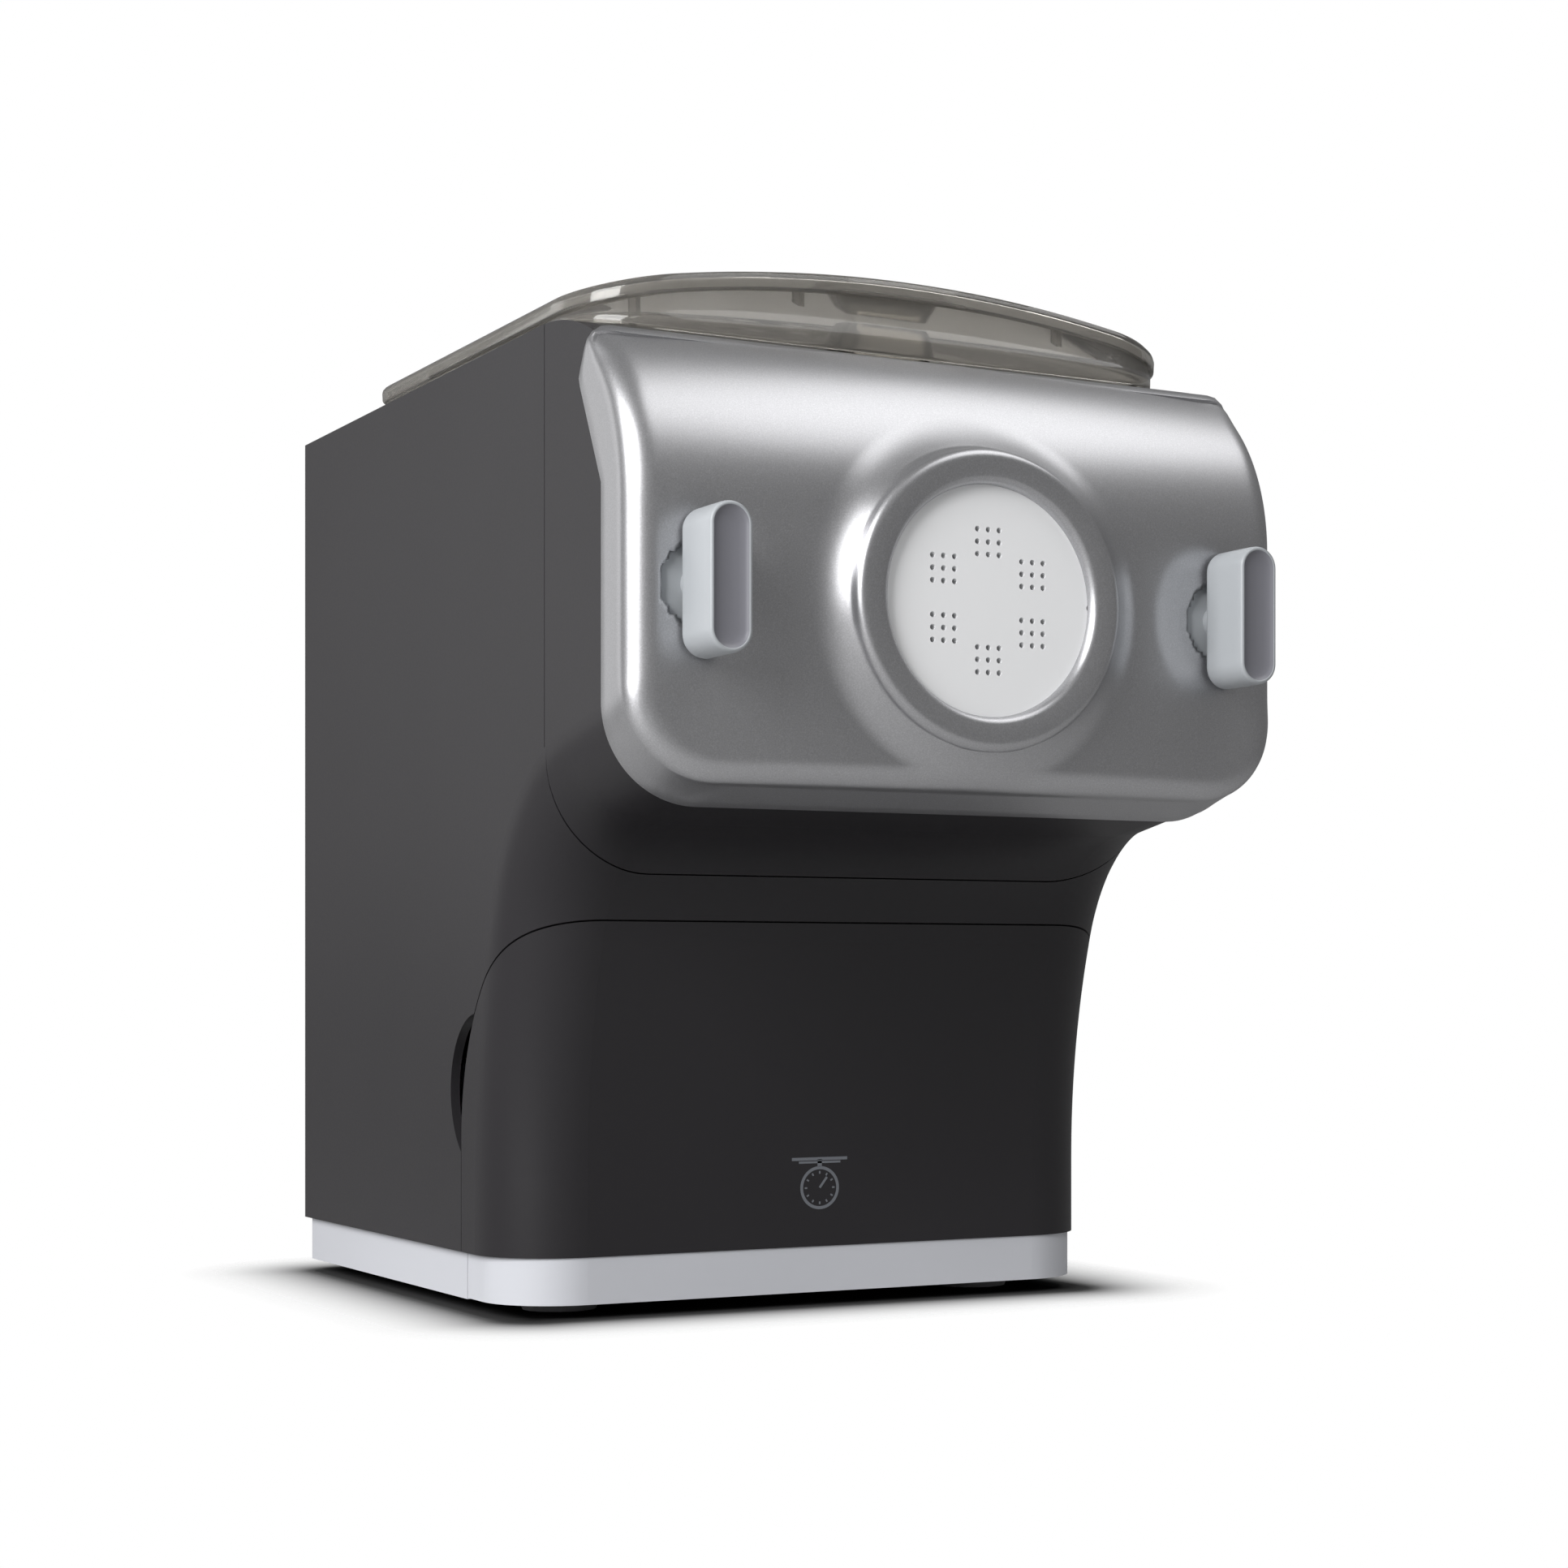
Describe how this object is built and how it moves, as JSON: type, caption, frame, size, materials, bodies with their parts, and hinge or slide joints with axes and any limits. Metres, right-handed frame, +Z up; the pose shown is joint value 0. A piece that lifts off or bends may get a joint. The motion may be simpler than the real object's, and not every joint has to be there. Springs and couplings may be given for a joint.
{
  "type": "electric pasta maker",
  "caption": "Countertop electric pasta maker with leaning head, silver front panel held by two turn knobs, round shaping disc, arched clear lid and storage drawer.",
  "frame": {"origin": "middle of the footprint's bounding box, on the surface the feet stand on", "axes": "+X to the appliance's right seen from its front, +Y to its rear, +Z up; the outlet faces -Y"},
  "size_m": [0.215, 0.3312, 0.3193],
  "materials": {
    "dark_shell": "satin",
    "silver": "satin metallic paint",
    "bright_ring": "satin",
    "knob_white": "satin",
    "black_trim": "matt",
    "white_plastic": "satin",
    "base_grey": "satin",
    "smoke_clear": "clear smoke",
    "rubber": "matt",
    "steel": "brushed",
    "aluminium": "satin",
    "gear_nylon": "satin",
    "copper_iron": "dark",
    "board_green": "gloss",
    "display_glass": "gloss",
    "button_grey": "satin"
  },
  "bodies": {
    "housing": {"head_shell": "dark_shell", "main_shell": "dark_shell", "base_tray": "base_grey", "rubber_feet": "rubber", "load_cells": "steel", "drawer_rails": "aluminium", "lid_lugs": "black_trim", "mixing_chamber": "white_plastic", "shaft_seal": "rubber", "chamber_saddles": "aluminium", "gearbox_case": "aluminium", "gearbox_cover": "aluminium", "front_bearing": "steel", "motor_can": "steel", "motor_magnets": "copper_iron", "control_fascia": "black_trim", "display_lens": "display_glass", "control_board": "board_green", "power_board": "board_green", "lid_switch": "black_trim", "cord_gland": "black_trim", "vent_grille": "black_trim", "gearbox_screws": "steel"},
    "panel": {"front_panel": "silver", "hub_ring": "bright_ring", "left_knob_socket": "black_trim", "right_knob_socket": "black_trim"},
    "left_lock": {"left_knob": "knob_white", "left_latch": "steel"},
    "right_lock": {"right_knob": "knob_white", "right_latch": "steel"},
    "outlet": {"shaping_disc": "white_plastic", "extrusion_tube": "white_plastic"},
    "drawer": {"drawer_front": "dark_shell", "drawer_base_strip": "base_grey", "drawer_tray": "white_plastic", "spare_discs": "white_plastic"},
    "lid_cover": {"lid": "smoke_clear", "lid_pins": "steel", "water_slot": "smoke_clear"},
    "spindle": {"drive_shaft": "steel", "output_gear": "gear_nylon", "mixing_paddle": "white_plastic", "extrusion_screw": "gear_nylon"},
    "idler": {"idler_gear_small": "gear_nylon", "idler_gear_large": "gear_nylon", "idler_arbor": "steel"},
    "rotor": {"motor_shaft": "steel", "motor_pinion": "gear_nylon", "motor_armature": "copper_iron", "motor_fan": "gear_nylon"},
    "power": {"power_button": "button_grey"},
    "program": {"program_button": "button_grey"},
    "more": {"more_button": "button_grey"},
    "less": {"less_button": "button_grey"},
    "start": {"start_button": "button_grey"}
  },
  "joints": [
    {"name": "panel_off", "type": "slide", "parent": "housing", "child": "panel", "axis": [0, -1, 0], "range_m": [0, 0.12]},
    {"name": "left_knob_turn", "type": "hinge", "parent": "panel", "child": "left_lock", "pos_m": [-0.08806, -0.145, 0.21675], "axis": [0, 1, 0], "range_deg": [0, 90]},
    {"name": "right_knob_turn", "type": "hinge", "parent": "panel", "child": "right_lock", "pos_m": [0.08806, -0.145, 0.21675], "axis": [0, -1, 0], "range_deg": [0, 90]},
    {"name": "outlet_off", "type": "slide", "parent": "housing", "child": "outlet", "axis": [0, -1, 0], "range_m": [0, 0.054]},
    {"name": "drawer_pull", "type": "slide", "parent": "housing", "child": "drawer", "axis": [0, -1, 0], "range_m": [0, 0.1]},
    {"name": "lid_swing", "type": "hinge", "parent": "housing", "child": "lid_cover", "pos_m": [0, 0.092, 0.3065], "axis": [-1, 0, 0], "range_deg": [0, 80]},
    {"name": "spindle_turn", "type": "hinge", "parent": "housing", "child": "spindle", "pos_m": [0, 0.05, 0.21675], "axis": [0, 1, 0], "continuous": true},
    {"name": "idler_turn", "type": "hinge", "parent": "housing", "child": "idler", "pos_m": [0.01084, 0.09, 0.15367], "axis": [0, 1, 0], "continuous": true},
    {"name": "rotor_turn", "type": "hinge", "parent": "housing", "child": "rotor", "pos_m": [0, 0.13, 0.11], "axis": [0, 1, 0], "continuous": true},
    {"name": "power_press", "type": "slide", "parent": "housing", "child": "power", "axis": [-1, 0, 0], "range_m": [0, 0.0015], "stiffness_N_per_m": 400},
    {"name": "program_press", "type": "slide", "parent": "housing", "child": "program", "axis": [-1, 0, 0], "range_m": [0, 0.0015], "stiffness_N_per_m": 400},
    {"name": "more_press", "type": "slide", "parent": "housing", "child": "more", "axis": [-1, 0, 0], "range_m": [0, 0.0015], "stiffness_N_per_m": 400},
    {"name": "less_press", "type": "slide", "parent": "housing", "child": "less", "axis": [-1, 0, 0], "range_m": [0, 0.0015], "stiffness_N_per_m": 400},
    {"name": "start_press", "type": "slide", "parent": "housing", "child": "start", "axis": [-1, 0, 0], "range_m": [0, 0.0015], "stiffness_N_per_m": 400}
  ],
  "couplings": [
    {"joint": "outlet_off", "follows": "panel_off", "ratio": 0.45},
    {"joint": "idler_turn", "follows": "spindle_turn", "ratio": -3},
    {"joint": "rotor_turn", "follows": "spindle_turn", "ratio": 9}
  ]
}
